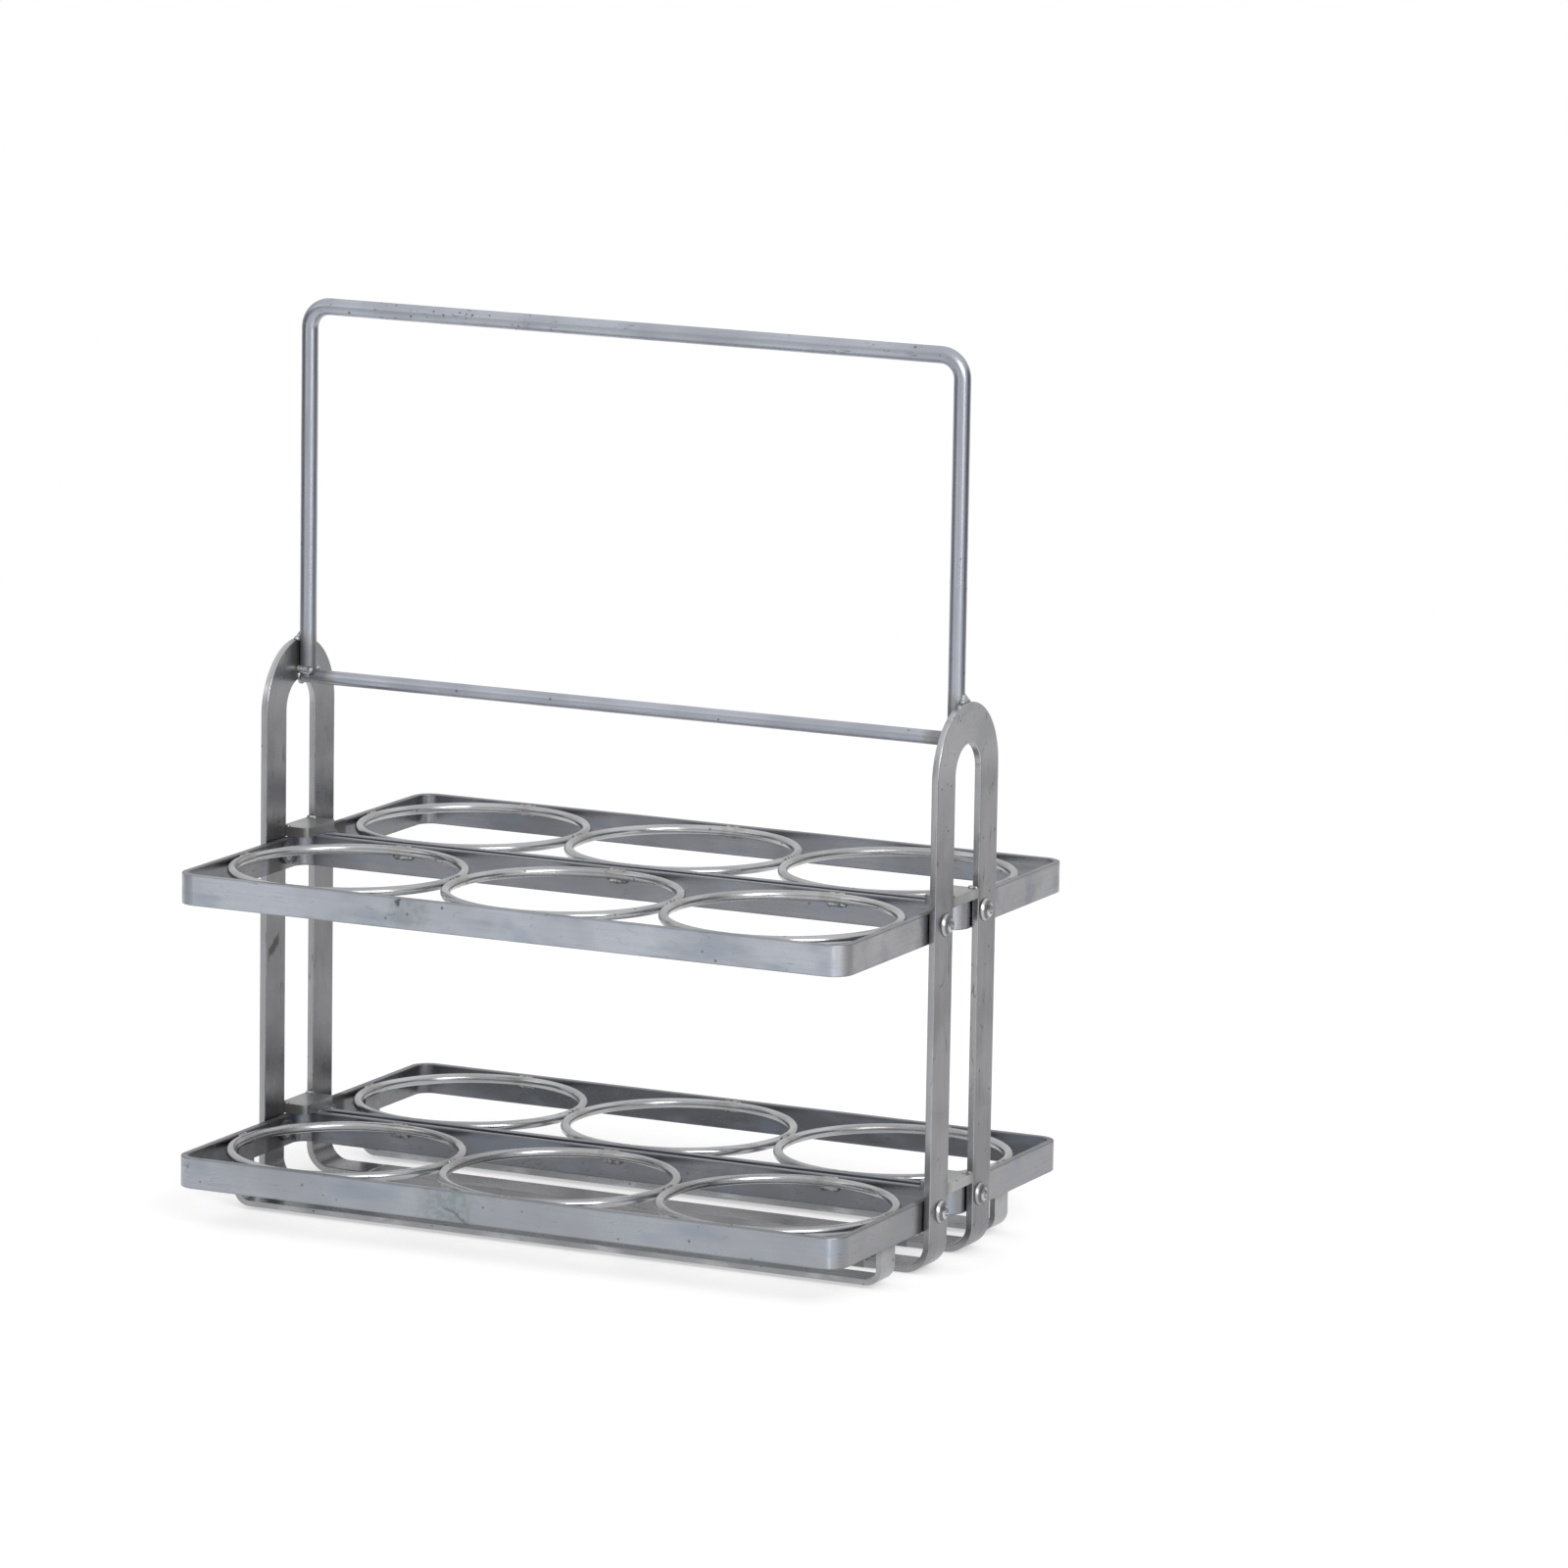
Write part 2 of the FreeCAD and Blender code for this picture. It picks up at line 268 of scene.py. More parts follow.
# Wear and a painted highlight along both edges of the strap.
edge_wear_and_highlight = rise(abs(across - middle), half_width - 0.6, half_width - 0.05)
colour = blend(edge_wear_and_highlight * 0.3, colour, wear_and_highlight_bright)
roughness = roughness - 0.06 * edge_wear_and_highlight
from_smudge = y - smudge_y
off_line = abs(z - smudge_height - smudge_slope * from_smudge)
off_line = off_line + 5.0 * (cloud(place, (1, 1, 1), 2.6) - 0.5)
left_inside = rise(x, 0.0, -1.0) * inward
smudge = rise(off_line, 3.0, 1.2) * rise(abs(from_smudge + 0.3), 4.6, 3.0) * left_inside
colour = blend(smudge * 0.85, colour, pit_black)
hairline = scratches(place, (1.0, 0.5, 0.08), 2.4)
colour = blend(hairline * 0.5, colour, pit_black)
heat = rise(across, strap_half_inner + 7.0, strap_half_inner)
lower_heat, upper_heat = [rise(abs(z - (top + 3.0)), 8.0, 2.0) for top in tier_tops]
tier_heat = lower_heat + upper_heat
under_rod = rise(z, arch_top - crown_height, arch_top - crown_height + 8.0)
crown_heat = rise(abs(y), 9.0, 3.0) * under_rod * inward
lip_heat = rise(away(y, z - arch_top), 9.0, 1.0)
weld_heat = heat * tier_heat * 0.8 + crown_heat * 0.7 + lip_heat * 0.3
colour, roughness = heat_bloom(colour, roughness, weld_heat, place)
finish_steel(upright_finish, colour, roughness, height - 0.03 * hairline)
give(upright_finish, "left_upright", "right_upright")

# The two base straps: lengths of the same strap that lie flat between the feet and are butt welded to
# them, scuffed along their length by the shelf that the caddy is slid on.
foot_end = far_side("base_strap_front", 0)

base_finish, place = new_steel("base_strap_steel")
x, y, z = place.axes()
mill_lines = cloud(place, (0.03, 1.0, 1.0), 0.9)
colour, roughness, height = drawn_skin(place, mill_lines, strap_light, strap_dark, strap_polish)
scuff = scratches(place, (0.08, 1.0, 0.5), 2.0)
colour = blend(scuff * 0.5, colour, pit_black)
colour, roughness = heat_bloom(colour, roughness, rise(abs(x), foot_end - 9.0, foot_end - 1.0), place)
finish_steel(base_finish, colour, roughness, height - 0.03 * scuff)
give(base_finish, "base_strap_front", "base_strap_rear")

# The carrying handle and the cross rod under it: bright drawn round rod, welded to the uprights. The
# handle is one rod bent square at its two corners, rubbed and speckled on top where it is carried.
handle_corner = 310.0
handle_foot = (189.0, 187.5)
rubbed_middle = -68.0
rod_weld_reach = (112.0, 122.0)
rod_weld_height = (204.0, 194.0)
rod_polish = 0.24
rod_light = (0.39, 0.412, 0.465, 1.0)
rod_dark = (0.26, 0.27, 0.30, 1.0)

rod_finish, place = new_steel("drawn_rod_steel")
x, y, z = place.axes()
on_top = rise(z, handle_corner - 2.0, handle_corner + 2.0)
under_arch = rise(z, *handle_foot)
lying = on_top + under_arch
stand_lines = cloud(place, (1.0, 1.0, 0.02), 0.8)
lying_lines = cloud(place, (0.02, 1.0, 1.0), 0.8)
draw_lines = stand_lines + lying * (lying_lines - stand_lines)
colour, roughness, height = drawn_skin(place, draw_lines, rod_light, rod_dark, rod_polish)
rubbed = on_top * rise(abs(x - rubbed_middle), 48.0, 26.0)
speckle = rubbed * pits(place, 1.3, 0.16)
colour = blend(speckle * 0.7, colour, pit_black)
nick = scratches(place, (0.16, 1.0, 1.0), 1.6) * on_top
colour = blend(nick * 0.6, colour, pit_black)
crown_heat = rise(abs(x), *rod_weld_reach) * rise(z, *rod_weld_height)
colour, roughness = heat_bloom(colour, roughness, crown_heat * 0.8, place)
finish_steel(rod_finish, colour, roughness + 0.1 * speckle, height - 0.05 * speckle - 0.03 * nick)
give(rod_finish, "cross_rod", "carry_handle")

# The four stop plates: sheared plate let into the slots of the uprights and welded there. The inner bars
# of the trays come up against them, so that an open tray can't drop.
ends = ("left", "right")
plate_weld_side = (5.0, 10.0)
plate_weld_end = (126.0, 131.0)
plate_polish = 0.3
plate_light = (0.355, 0.36, 0.365, 1.0)
plate_dark = (0.24, 0.24, 0.235, 1.0)

plate_finish, place = new_steel("sheared_plate_steel")
x, y, z = place.axes()
shear_lines = cloud(place, (1.0, 0.06, 1.0), 0.9)
colour, roughness, height = drawn_skin(place, shear_lines, plate_light, plate_dark, plate_polish)
plate_heat = rise(abs(y), *plate_weld_side) * 0.8 + rise(abs(x), *plate_weld_end) * 0.3
colour, roughness = heat_bloom(colour, roughness, plate_heat * 0.45, place)
finish_steel(plate_finish, colour, roughness, height)
stop_plates = [f"{tier}_stop_plate_{end}" for tier in tiers for end in ends]
give(plate_finish, *stop_plates)

# The welds of the frame: beads of filler run by hand along the joints of the handle, the cross rod, the
# stop plates and the feet. Each run melts into the steel on both sides, lumpy, bright, and black in its
# folds. Those on the crowns of the arches are dressed smoother than the rest.
weld_light = (0.42, 0.43, 0.45, 1.0)
weld_dark = (0.06, 0.058, 0.055, 1.0)
bead_spacing = 0.0009
bead_swell = 0.18
weld_ripple = 0.00022
weld_fineness = 0.00022
lump_scale = 750.0
crown_dressing = (186.0, 192.0)

weld_finish, place = new_steel("weld_metal")
at_crown = rise(place.axes()[2], *crown_dressing)
fold = rise(cloud(place, (1, 1, 1), 1.7), 0.40, 0.62)
grit = cloud(place, (1, 1, 1), 0.5)
colour = blend(fold * (0.75 - 0.55 * at_crown), weld_light, weld_dark)
colour = blend(rise(grit, 0.5, 0.7) * 0.4, colour, bloom_brown)
roughness = 0.24 + 0.22 * fold + 0.1 * grit + 0.14 * at_crown
finish_steel(weld_finish, colour, roughness, 0.10 * grit)


def weld_tree():
    """Beads set along the runs, of uneven size, melted into one lumpy skin."""
    tree = bpy.data.node_groups.new("weld_run", "GeometryNodeTree")
    sockets = (
        ("Runs", "NodeSocketGeometry"),
        ("Bead spacing", "NodeSocketFloat"),
        ("Bead swell", "NodeSocketFloat"),
        ("Ripple", "NodeSocketFloat"),
        ("Lump scale", "NodeSocketFloat"),
        ("Fineness", "NodeSocketFloat"),
        ("Seed", "NodeSocketInt"),
        ("Weld metal", "NodeSocketMaterial"),
    )
    for label, kind in sockets:
        tree.interface.new_socket(label, in_out="INPUT", socket_type=kind)
    tree.interface.new_socket("Weld", in_out="OUTPUT", socket_type="NodeSocketGeometry")
    given = tree.nodes.new("NodeGroupInput").outputs

    def add(kind, settings, joins, output=0):
        """A new node of a kind: its settings, then the values or links of its sockets."""
        made = tree.nodes.new(kind)
        for key, value in settings.items():
            setattr(made, key, value)
        for key, value in joins.items():
            if isinstance(value, bpy.types.NodeSocket):
                tree.links.new(value, made.inputs[key])
            else:
                made.inputs[key].default_value = value
        return made.outputs[output]

    curve = add("GeometryNodeMeshToCurve", {}, {"Mesh": given["Runs"]})
    joins = {"Curve": curve, "Length": given["Bead spacing"]}
    spaced = add("GeometryNodeResampleCurve", {"mode": "LENGTH"}, joins)
    points = add("GeometryNodeCurveToPoints", {"mode": "EVALUATED"}, {"Curve": spaced})
    bead = add("GeometryNodeInputNamedAttribute", {"data_type": "FLOAT"}, {"Name": "bead"})
    smallest = add("ShaderNodeMath", {"operation": "SUBTRACT"}, {0: 1.0, 1: given["Bead swell"]})
    joins = {2: smallest, 3: 1.0, 8: given["Seed"]}
    chance = add("FunctionNodeRandomValue", {"data_type": "FLOAT"}, joins, 1)
    radius = add("ShaderNodeMath", {"operation": "MULTIPLY"}, {0: bead, 1: chance})
    joins = {"Points": points, "Voxel Size": given["Fineness"], "Radius": radius}
    pool = add("GeometryNodePointsToVolume", {"resolution_mode": "VOXEL_SIZE"}, joins)
    skin = add("GeometryNodeVolumeToMesh", {"resolution_mode": "GRID"}, {"Volume": pool})
    lumps = add("ShaderNodeTexNoise", {}, {"Scale": given["Lump scale"], "Detail": 2.0})
    swing = add("ShaderNodeMath", {"operation": "SUBTRACT"}, {0: lumps, 1: 0.5})
    push = add("ShaderNodeMath", {"operation": "MULTIPLY"}, {0: swing, 1: given["Ripple"]})
    outward = add("GeometryNodeInputNormal", {}, {})
    joins = {0: outward, "Scale": push}
    offset = add("ShaderNodeVectorMath", {"operation": "SCALE"}, joins)
    rippled = add("GeometryNodeSetPosition", {}, {"Geometry": skin, "Offset": offset})
    smooth = add("GeometryNodeSetShadeSmooth", {}, {"Geometry": rippled})
    real = add("GeometryNodeRealizeInstances", {}, {"Geometry": smooth})
    made = add("GeometryNodeSetMaterial", {}, {"Geometry": real, "Material": given["Weld metal"]})
    tree.links.new(made, tree.nodes.new("NodeGroupOutput").inputs["Weld"])
    return tree


weld_run = weld_tree()


def lay_weld(name, body, runs, seed):
    """One mesh of all the welds of a body. Each run is a bead radius and its points, in millimetres."""
    corners = []
    edges = []
    beads = []
    for radius, points in runs:
        for step, point in enumerate(points):
            if step:
                edges.append((len(corners) - 1, len(corners)))
            corners.append([value / 1000.0 for value in point])
            beads.append(radius / 1000.0)
    mesh = bpy.data.meshes.new(name + "_runs")
    mesh.from_pydata(corners, edges, [])
    mesh.attributes.new("bead", "FLOAT", "POINT").data.foreach_set("value", beads)
    piece = bpy.data.objects.new(name, mesh)
    bpy.context.scene.collection.objects.link(piece)
    modifier = piece.modifiers.new("weld", "NODES")
    modifier.node_group = weld_run
    values = {
        "Bead spacing": bead_spacing,
        "Bead swell": bead_swell,
        "Ripple": weld_ripple,
        "Lump scale": lump_scale,
        "Fineness": weld_fineness,
        "Seed": seed,
        "Weld metal": weld_finish,
    }
    for item in weld_run.interface.items_tree:
        if item.name in values:
            modifier[item.identifier] = values[item.name]
    evaluated = piece.evaluated_get(bpy.context.evaluated_depsgraph_get())
    melted = bpy.data.meshes.new_from_object(evaluated)
    piece.modifiers.remove(modifier)
    piece.data = melted
    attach(piece, body)


def arc_points(centre, radius, start, stop, count):
    """Points round a rod that lies along x."""
    turns = [math.radians(start + (stop - start) * step / (count - 1)) for step in range(count)]
    return [
        (centre[0], centre[1] + radius * math.cos(turn), centre[2] + radius * math.sin(turn))
        for turn in turns
    ]


cross_rod_level = (far_side("cross_rod", 2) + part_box("cross_rod")[0][2] * 1000.0) / 2
strap_inside = far_side("cross_rod", 0)
handle_rod_radius = 3.0
rod_middle = far_side("carry_handle", 0) - handle_rod_radius
plate_thickness = far_side("upper_stop_plate_right", 2) - tier_tops[1]
saddle_bead = 1.5
saddle_spread = 2.5
saddle_rise = 2.3
rod_end_bead = 0.75
rod_end_circle = 2.5
rod_end_arc = (50, 170)
plate_corner_bead = 0.85
plate_inlet_bead = 0.9
plate_bead_inset = 0.9
plate_inlet_length = 2.0
foot_bead = 0.75
foot_bead_inset = 0.8
foot_bead_level = 2.0
lip_beads = ((1.2, 0.7, 2.0, 0.0), (0.95, 0.35, 1.3, 1.0), (0.7, 0.1, 0.7, 2.0))

frame_runs = []
for end in (-1, 1):
    wall = end * (strap_inside - 0.3)
    rod_front = end * (rod_middle - 2.0)
    seam = end * foot_end
    for side in (-1, 1):
        flank = side * saddle_spread
        saddle = cross_rod_level + saddle_rise
        saddle_back = (end * (strap_inside - 0.6), flank, saddle + 0.4)
        frame_runs.append((saddle_bead, [(rod_front, flank, saddle), saddle_back]))
        rod_end = (wall, 0.0, cross_rod_level)
        first_turn, last_turn = [90 + side * turn for turn in rod_end_arc]
        frame_runs.append((rod_end_bead, arc_points(rod_end, rod_end_circle, first_turn, last_turn, 7)))
        bead_line = side * (strap_half_inner - plate_bead_inset)
        for top in tier_tops:
            plate_top = top + plate_thickness
            inner_corner = (wall, bead_line, plate_top)
            inlet_end = (wall + end * plate_inlet_length, bead_line, plate_top)
            frame_runs.append((plate_corner_bead, [(wall, bead_line, top + 1.3), inner_corner]))
            frame_runs.append((plate_inlet_bead, [inner_corner, inlet_end]))
        seam_inner = (seam, side * (strap_half_inner + foot_bead_inset), foot_bead_level)
        seam_outer = (seam, side * (strap_half_outer - foot_bead_inset), foot_bead_level)
        frame_runs.append((foot_bead, [seam_inner, seam_outer]))
    for radius, out, half, level in lip_beads:
        lip = end * (strap_inside + out)
        low = arch_top + level
        frame_runs.append((radius, [(lip, -half, low), (lip, 0.0, low + 0.4), (lip, half, low)]))
lay_weld("frame_welds", "carrier_frame", frame_runs, 3)

# The eight pivot rivets: each has a domed head outside the upright, dished in its middle by the set, and
# a flat tail inside the tray that turns on it. The head has painted shade in the dish, a painted
# highlight round it, a ring of painted shade outside that, and painted shade at its root.
rivet_low, rivet_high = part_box("lower_rear_rivet_right")
pivot_half_spread = (rivet_low[1] + rivet_high[1]) * 500.0
axis_height = (rivet_low[2] + rivet_high[2]) * 500.0
tier_pitch = tier_tops[1] - tier_tops[0]
dish_radius = 1.5
highlight_ring_radius = 2.6
shade_ring_radius = 3.7
rivet_polish = 0.2
rivet_light = (0.46, 0.465, 0.475, 1.0)
rivet_dark = (0.19, 0.19, 0.19, 1.0)
painted_shade_dark = (0.045, 0.042, 0.038, 1.0)


def in_pitch(value, pitch):
    """Where a value lies in its own step of a repeat, from the middle of the step."""
    return value.node("ShaderNodeMath", {"operation": "WRAP"}, {0: value, 1: pitch / 2, 2: -pitch / 2})


rivet_finish, place = new_steel("set_rivet_steel")
x, y, z = place.axes()
from_axis_y = abs(y) - pivot_half_spread
radius = away(from_axis_y, in_pitch(z - axis_height, tier_pitch))
set_rings = cloud(laid_along(radius, x * 0.05, x * 0.05), (1.0, 1.0, 1.0), 0.35)
colour, roughness, height = drawn_skin(place, set_rings, rivet_light, rivet_dark, rivet_polish)
in_dish = rise(radius, dish_radius, dish_radius - 0.3)
past_dish = rise(radius, dish_radius - 0.3, dish_radius)
painted_highlight_ring = past_dish * rise(radius, highlight_ring_radius, highlight_ring_radius - 0.4)
past_highlight_ring = rise(radius, highlight_ring_radius - 0.3, highlight_ring_radius + 0.1)
painted_shade_ring = past_highlight_ring * rise(radius, shade_ring_radius, shade_ring_radius - 0.4)
at_root = rise(abs(x), strap_face_outer + 0.6, strap_face_outer)
# Painted shade round the head, at its root and in the dish, and a painted highlight round the dish.
colour = blend(painted_shade_ring * 0.7, colour, painted_shade_dark)
colour = blend(painted_highlight_ring * 0.6, colour, wear_and_highlight_bright)
colour = blend(in_dish * 0.6, colour, rivet_dark)
colour = blend(at_root * rise(radius, 3.4, 4.0) * 0.85, colour, painted_shade_dark)
finish_steel(rivet_finish, colour, roughness + 0.2 * at_root, height)
rivets = [f"{tier}_{row}_rivet_{end}" for tier in tiers for row in rows for end in ends]
give(rivet_finish, *rivets)

# The four tray rims: flat bar bent on edge into a closed frame. It keeps the lines of the mill, with
# smears and stains, the worst on the front bars. Painted shade darkens its inner faces, its rougher
# edges, its end bars and the whole lower tier, and a dark painted reflection of the legs lies on the end
# bars by the pivots.
rim_half_length = far_side("upper_rear_rim", 0)
front_face = -far_side("upper_rear_rim", 1)
bar_thickness = 2.5
bar_half_height = 5.5
ring_pitch = 85.0
bar_faces = (4.5, 89.5)
bar_bend = 7.5
tray_half_depth = 45.0
ring_row = 47.0
between_tiers = (60.0, 40.0)
leg_reflection_start = (14.0, 20.0)
leg_reflection_end = (30.5, 27.0)
gouge_x = -19.5
gouge_slope = 0.52
bar_polish = 0.23
bar_light = (0.425, 0.45, 0.5, 1.0)
bar_dark = (0.325, 0.335, 0.365, 1.0)
bar_end_painted_shade = (0.308, 0.288, 0.293, 1.0)
bar_inside_painted_shade = (0.15, 0.15, 0.16, 1.0)
lower_tier_painted_shade = (0.17, 0.175, 0.19, 1.0)
stain_green = (0.20, 0.235, 0.24, 1.0)
stain_blue = (0.25, 0.29, 0.36, 1.0)

bar_finish, place = new_steel("flat_bar_steel")
x, y, z = place.axes()
long_lines = cloud(place, (0.025, 1.0, 1.0), 1.0)
end_lines = cloud(place, (1.0, 0.025, 1.0), 1.0)
corner_x = abs(x) - (rim_half_length - bar_bend)
corner_y = abs(abs(y) - ring_row) - (tray_half_depth - bar_bend)
past_x = x.sum("MAXIMUM", corner_x, 0.0)
past_y = y.sum("MAXIMUM", corner_y, 0.0)
bend_radius = away(past_x, past_y)
short_of_bend = x.sum("MINIMUM", x.sum("MAXIMUM", corner_x, corner_y), 0.0)
bar_depth = bar_bend - bend_radius - short_of_bend
on_end = rise(corner_x - corner_y, -3.0, 3.0)
mill_lines = long_lines + on_end * (end_lines - long_lines)
colour, roughness, height = drawn_skin(place, mill_lines, bar_light, bar_dark, bar_polish)
bar_middle = in_pitch(z - (tier_tops[0] - bar_half_height), tier_pitch)
# Painted shade on the end bars.
colour = blend(on_end * 0.7, colour, bar_end_painted_shade)
lower_tier = rise(z, *between_tiers)
# Painted shade over the lower tier, deeper on its end bars.
colour = blend(lower_tier * (0.36 + 0.14 * on_end), colour, lower_tier_painted_shade)
inside = rise(bar_depth, 1.3, bar_thickness - 0.4)
# Painted shade on the inner faces of the bars.
colour = blend(inside * 0.7, colour, bar_inside_painted_shade)
smear = rise(cloud(place, (0.35, 1.0, 1.0), 9.0), 0.5, 0.68)
colour = blend(smear * 0.45, colour, stain_blue)
shaded_dull_edge = rise(abs(bar_middle), bar_half_height - 0.6, bar_half_height - 0.15)
# Painted shade along the top and bottom edges of the bars, which are also rougher.
colour = blend(shaded_dull_edge * 0.5, colour, bar_inside_painted_shade)
# A dark painted reflection of the legs on the end bars, by the pivots.
leg_reflection = on_end * rise(abs(y), *leg_reflection_start) * rise(abs(y), *leg_reflection_end)
colour = blend(leg_reflection * 0.6, colour, painted_shade_dark)
hairline = scratches(place, (0.12, 0.12, 1.0), 1.9)
colour = blend(hairline * 0.25, colour, pit_black)
ring_x = in_pitch(x, ring_pitch)
inner_weld, outer_weld = [rise(abs(abs(y) - face), 4.0, 1.5) for face in bar_faces]
seat_heat = rise(bar_middle, -1.0, 4.5) * (inner_weld + outer_weld)
joint_heat = rise(abs(ring_x), 9.0, 2.0) * seat_heat * inside
colour, roughness = heat_bloom(colour, roughness, joint_heat * 0.62, place)


def stain(centre, reach):
    """A ragged round stain about a place on a bar."""
    gap = place.node("ShaderNodeVectorMath", {"operation": "DISTANCE"}, {0: place, 1: centre}, 1)
    ragged = gap + 9.0 * (cloud(place, (1, 1, 1), 5.0) - 0.5)
    return rise(ragged, reach, reach * 0.35)


upper_stain = stain((-37.0, front_face, tier_tops[1] - 4.0), 10.0)
lower_stain = stain((-20.0, front_face, tier_tops[0] - 6.5), 15.0)
mottle = rise(cloud(place, (1, 1, 1), 2.2), 0.4, 0.6)
colour = blend(upper_stain * (0.25 + 0.25 * mottle), colour, stain_green)
colour = blend(lower_stain * (0.3 + 0.4 * mottle), colour, stain_green)
off_gouge = (z - (tier_tops[0] - 7.0)) + gouge_slope * (x - gouge_x)
off_gouge = off_gouge + 5.0 * (cloud(place, (1, 1, 1), 4.0) - 0.5)
on_front = rise(y, front_face + 1.0, front_face + 0.5)
gouge = rise(abs(off_gouge), 0.6, 0.15) * rise(abs(x - gouge_x - 2.5), 8.0, 4.0) * on_front
dent = stain((-41.2, front_face, tier_tops[1] - 1.2), 1.2)
colour = blend(gouge * 0.38, colour, pit_black)
colour = blend(dent * 0.7, colour, pit_black)
roughness = roughness + 0.1 * smear + 0.08 * shaded_dull_edge + 0.08 * lower_stain + 0.2 * leg_reflection
finish_steel(bar_finish, colour, roughness, height - 0.01 * hairline - 0.08 * gouge - 0.1 * dent)
give(bar_finish, *[f"{tier}_{row}_rim" for tier in tiers for row in rows])

# The twelve bottle rings: bright wire rolled into hoops that just touch each other and the bar round
# them. Each is tacked to its neighbours, with a dark bloom at every tack.
ring_level = -2.0
wire_polish = 0.17
wire_light = (0.44, 0.445, 0.46, 1.0)
wire_dark = (0.22, 0.22, 0.225, 1.0)

wire_finish, place = new_steel("ring_wire_steel")
x, y, z = place.axes()
ring_x = in_pitch(x, ring_pitch)
ring_y = abs(y) - ring_row
round_ring = z.node("ShaderNodeMath", {"operation": "ARCTAN2"}, {0: ring_y, 1: ring_x})
from_centre = away(ring_x, ring_y)
draw_lines = cloud(laid_along(from_centre, round_ring, z), (1.0, 0.8, 1.0), 0.6)
colour, roughness, height = drawn_skin(place, draw_lines, wire_light, wire_dark, wire_polish)
touch = rise(abs(ring_x), 9.0, 3.0) + rise(abs(ring_y), 9.0, 3.0)
colour, roughness = heat_bloom(colour, roughness, touch * 0.35, place)
finish_steel(wire_finish, colour, roughness, height)
columns = (1, 2, 3)
rings = [f"{tier}_{row}_ring_{column}" for tier in tiers for row in rows for column in columns]
give(wire_finish, *rings)

# The two bottle rests: thin strap bent into a shallow cradle under each lower tray, its ends turned up
# and welded inside the end bars. It is rubbed in each cell by what stands on it.
rest_polish = 0.24
rest_light = (0.35, 0.355, 0.37, 1.0)
rest_dark = (0.2, 0.2, 0.21, 1.0)
rest_half_width = 5.5

rest_finish, place = new_steel("rest_strap_steel")
x, y, z = place.axes()
mill_lines = cloud(place, (0.03, 1.0, 0.3), 0.9)
colour, roughness, height = drawn_skin(place, mill_lines, rest_light, rest_dark, rest_polish)
ring_x = in_pitch(x, ring_pitch)
rub = rise(abs(abs(ring_x) - 20.0), 9.0, 3.0) * rise(cloud(place, (0.3, 1.0, 1.0), 2.5), 0.4, 0.62)
colour = blend(rub * 0.4, colour, wear_and_highlight_bright)
strap_heat = rise(z, 9.0, 16.0)
colour, roughness = heat_bloom(colour, roughness, strap_heat * 0.7, place)
finish_steel(rest_finish, colour, roughness - 0.05 * rub, height)
give(rest_finish, "bottle_rest_front", "bottle_rest_rear")

# The welds of the trays: a tack above and below each ring where it meets the bars and its neighbours,
# and a run up both edges of each turned-up end of the bottle rests.
rest_end = far_side("bottle_rest_rear", 0)
rest_top = far_side("bottle_rest_rear", 2)
tack_half = 2.6
ring_tacks = ((0.7, 1.35), (1.05, -1.5), (1.5, -2.0))
rest_bead = 0.8

for tier, top in zip(tiers, tier_tops):
    for row, side in zip(rows, (-1, 1)):
        tray_runs = []
        over, under, inner_under = [(bead, top + ring_level + lift) for bead, lift in ring_tacks]
        tacks = (over, under)
        inner_tacks = (over, inner_under)
        for column in (-1, 0, 1):
            middle = column * ring_pitch
            for bar, lean in zip(bar_faces, (1, -1)):
                line = side * (bar + lean * 0.45)
                drift = 1.1 * math.sin(7.0 * column + bar + top)
                for radius, level in inner_tacks if bar == bar_faces[0] else tacks:
                    start = (middle + drift - tack_half, line, level)
                    stop = (middle + drift + tack_half, line, level)
                    tray_runs.append((radius, [start, stop]))
        for joint in (-0.5, 0.5):
            for radius, level in tacks:
                start = (joint * ring_pitch, side * (ring_row - tack_half), level)
                stop = (joint * ring_pitch, side * (ring_row + tack_half), level)
                tray_runs.append((radius, [start, stop]))
        for end in (-1, 1):
            line = end * (rest_end - 0.45)
            for radius, level in tacks:
                start = (line, side * ring_row - tack_half, level)
                stop = (line, side * ring_row + tack_half, level)
                tray_runs.append((radius, [start, stop]))
            if tier == "lower":
                for edge in (-1, 1):
                    strap_edge = side * ring_row + edge * (rest_half_width + 0.2)
                    start = (end * (rest_end - 0.3), strap_edge, rest_top - 6.0)
                    stop = (end * (rest_end - 0.3), strap_edge, rest_top - 0.5)
                    tray_runs.append((rest_bead, [start, stop]))
        lay_weld(f"{tier}_{row}_tray_welds", f"{tier}_{row}_tray", tray_runs, 11)

# The studio: a pale round floor that runs out into white, full behind the caddy and at its left front,
# and a dimmer room with a bright ceiling. Only the metal sees two dark cards at the sides and a bright
# one on the floor. Two soft lamps stand in front, and a tall narrow one draws lines down the bends.
floor_radius = 1.6
floor_corners = 96
floor_drop = 0.0003
floor_fade = (0.35, 1.2)
floor_colour = (0.5, 0.5, 0.495, 1.0)
floor_glow = 0.48
side_level = 0.72
room_level = 0.8
ceiling_level = 1.15
flag_level = 0.18
flag_distance = 1.4
flag_half_width = 0.65
flag_foot = Vector((0.0, 0.0, -0.4))
flag_head = Vector((0.0, 0.0, 0.7))
glint_level = 5.0
glint_length = 1.0
glint_half_width = 0.045
lamp_aim = Vector((0.0, 0.0, 0.14))

floor_mesh = bpy.data.meshes.new("floor")
floor_turns = [math.tau * step / floor_corners for step in range(floor_corners)]
floor_edge = [
    (floor_radius * math.cos(turn), floor_radius * math.sin(turn), -floor_drop)
    for turn in floor_turns
]
floor_mesh.from_pydata(floor_edge, [], [list(range(floor_corners))])
floor = bpy.data.objects.new("floor", floor_mesh)
bpy.context.scene.collection.objects.link(floor)

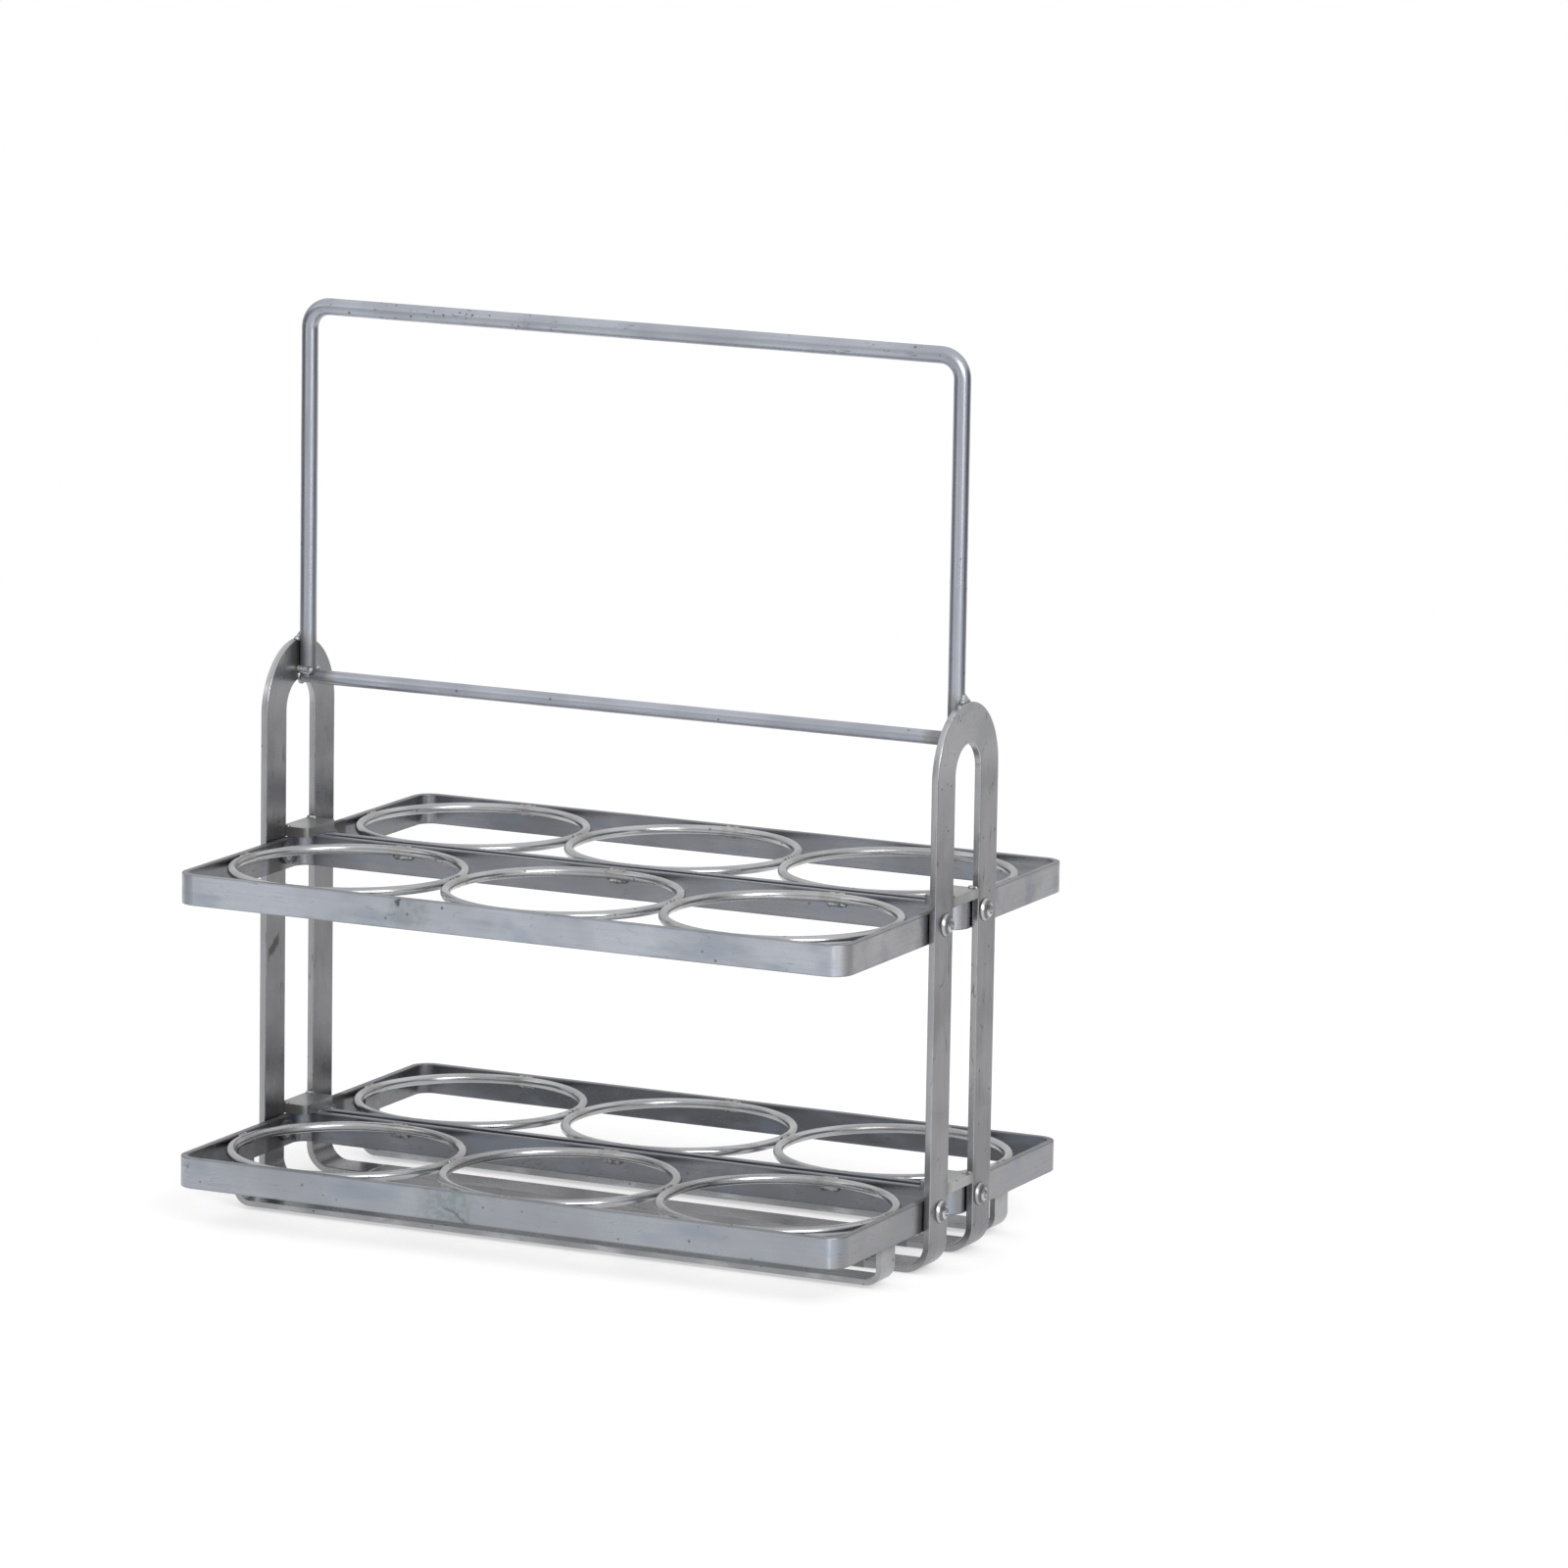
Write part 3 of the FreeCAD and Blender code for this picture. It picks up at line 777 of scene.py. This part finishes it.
floor_finish = bpy.data.materials.new("pale_floor")
floor_finish.use_nodes = True
floor_tree = floor_finish.node_tree
floor_tree.nodes.clear()
corner = Shade(floor_tree, floor_tree.nodes.new("ShaderNodeTexCoord").outputs["Object"])
distance = corner.node("ShaderNodeVectorMath", {"operation": "LENGTH"}, {0: corner}, 1)
sight = corner.node("ShaderNodeLightPath", {}, {})
rays = sight.socket.node.outputs
seen = Shade(floor_tree, rays["Is Camera Ray"])
for ray_name in ("Is Glossy Ray", "Is Transmission Ray"):
    seen = seen.sum("MAXIMUM", seen, Shade(floor_tree, rays[ray_name]))
matt = corner.node("ShaderNodeBsdfDiffuse", {}, {"Color": floor_colour})
glow = corner.node("ShaderNodeEmission", {}, {"Strength": seen * floor_glow})
paper = corner.node("ShaderNodeAddShader", {}, {0: matt, 1: glow})
clear = corner.node("ShaderNodeBsdfTransparent", {}, {})
faded = corner.node("ShaderNodeMixShader", {}, {0: rise(distance, *floor_fade), 1: paper, 2: clear})
floor_out = floor_tree.nodes.new("ShaderNodeOutputMaterial")
floor_tree.links.new(faded.socket, floor_out.inputs["Surface"])
floor_mesh.materials.append(floor_finish)

surround = bpy.data.worlds.new("white_surround")
surround.use_nodes = True
surround_tree = surround.node_tree
heading = Shade(surround_tree, surround_tree.nodes.new("ShaderNodeTexCoord").outputs["Generated"])
east, north, overhead = heading.axes()
behind = rise(-math.sin(view_turn) * east + math.cos(view_turn) * north, 0.4, 0.9)
left_front = rise(-math.sin(view_turn) * east - math.cos(view_turn) * north, 0.7, 0.95)
ground = side_level + (1.0 - side_level) * (behind + left_front)
room = room_level + (ceiling_level - room_level) * rise(overhead, 0.3, 0.75)
above = rise(overhead, -0.04, 0.04)
sky = surround_tree.nodes["Background"]
surround_tree.links.new((ground + above * (room - ground)).socket, sky.inputs["Strength"])
sky.inputs["Color"].default_value = (1.0, 1.0, 1.0, 1.0)
bpy.context.scene.world = surround


def studio_card(name, corners, level):
    """A flat card of the studio that only the metal sees, of one brightness."""
    mesh = bpy.data.meshes.new(name)
    mesh.from_pydata(corners, [], [list(range(len(corners)))])
    face = bpy.data.materials.new(name + "_face")
    face.use_nodes = True
    shader = face.node_tree.nodes["Principled BSDF"]
    shader.inputs["Base Color"].default_value = (0.0, 0.0, 0.0, 1.0)
    shader.inputs["Roughness"].default_value = 1.0
    shader.inputs["Emission Color"].default_value = (1.0, 1.0, 1.0, 1.0)
    shader.inputs["Emission Strength"].default_value = level
    mesh.materials.append(face)
    card = bpy.data.objects.new(name, mesh)
    bpy.context.scene.collection.objects.link(card)
    card.visible_camera = False
    card.visible_diffuse = False
    card.visible_shadow = False


toward_lens = Vector((math.sin(view_turn), -math.cos(view_turn), 0.0))
glint_near = Vector((rim_half_length / 1000.0 + 0.01, -0.11, 0.001))
glint_far = glint_near + glint_length * toward_lens
glint_side = glint_half_width * level_right
studio_card("glint_card", [glint_near, glint_far + glint_side, glint_far - glint_side], glint_level)
for end, side in zip(ends, (-1, 1)):
    stand = side * flag_distance * level_right
    reach = flag_half_width * toward_lens
    flag_corners = [
        stand - reach + flag_foot,
        stand + reach + flag_foot,
        stand + reach + flag_head,
        stand - reach + flag_head,
    ]
    studio_card(f"flag_{end}", flag_corners, flag_level)


def soft_lamp(name, stand, width, height, power):
    """A soft lamp on a stand, turned to the middle of the caddy and out of sight of the lens."""
    lamp = bpy.data.lights.new(name, "AREA")
    lamp.shape = "RECTANGLE"
    lamp.size = width
    lamp.size_y = height
    lamp.energy = power
    piece = bpy.data.objects.new(name, lamp)
    stand = Vector(stand)
    aim = lamp_aim - stand
    piece.location = stand
    piece.rotation_euler = aim.to_track_quat("-Z", "Y").to_euler()
    piece.visible_camera = False
    bpy.context.scene.collection.objects.link(piece)


soft_lamp("key_lamp", (1.5, -1.35, 1.25), 1.1, 1.1, 19.5)
soft_lamp("fill_lamp", (-1.7, -1.5, 1.0), 1.2, 1.2, 4.5)
soft_lamp("strip_lamp", (1.34, -0.87, 0.55), 0.4, 1.0, 5.0)
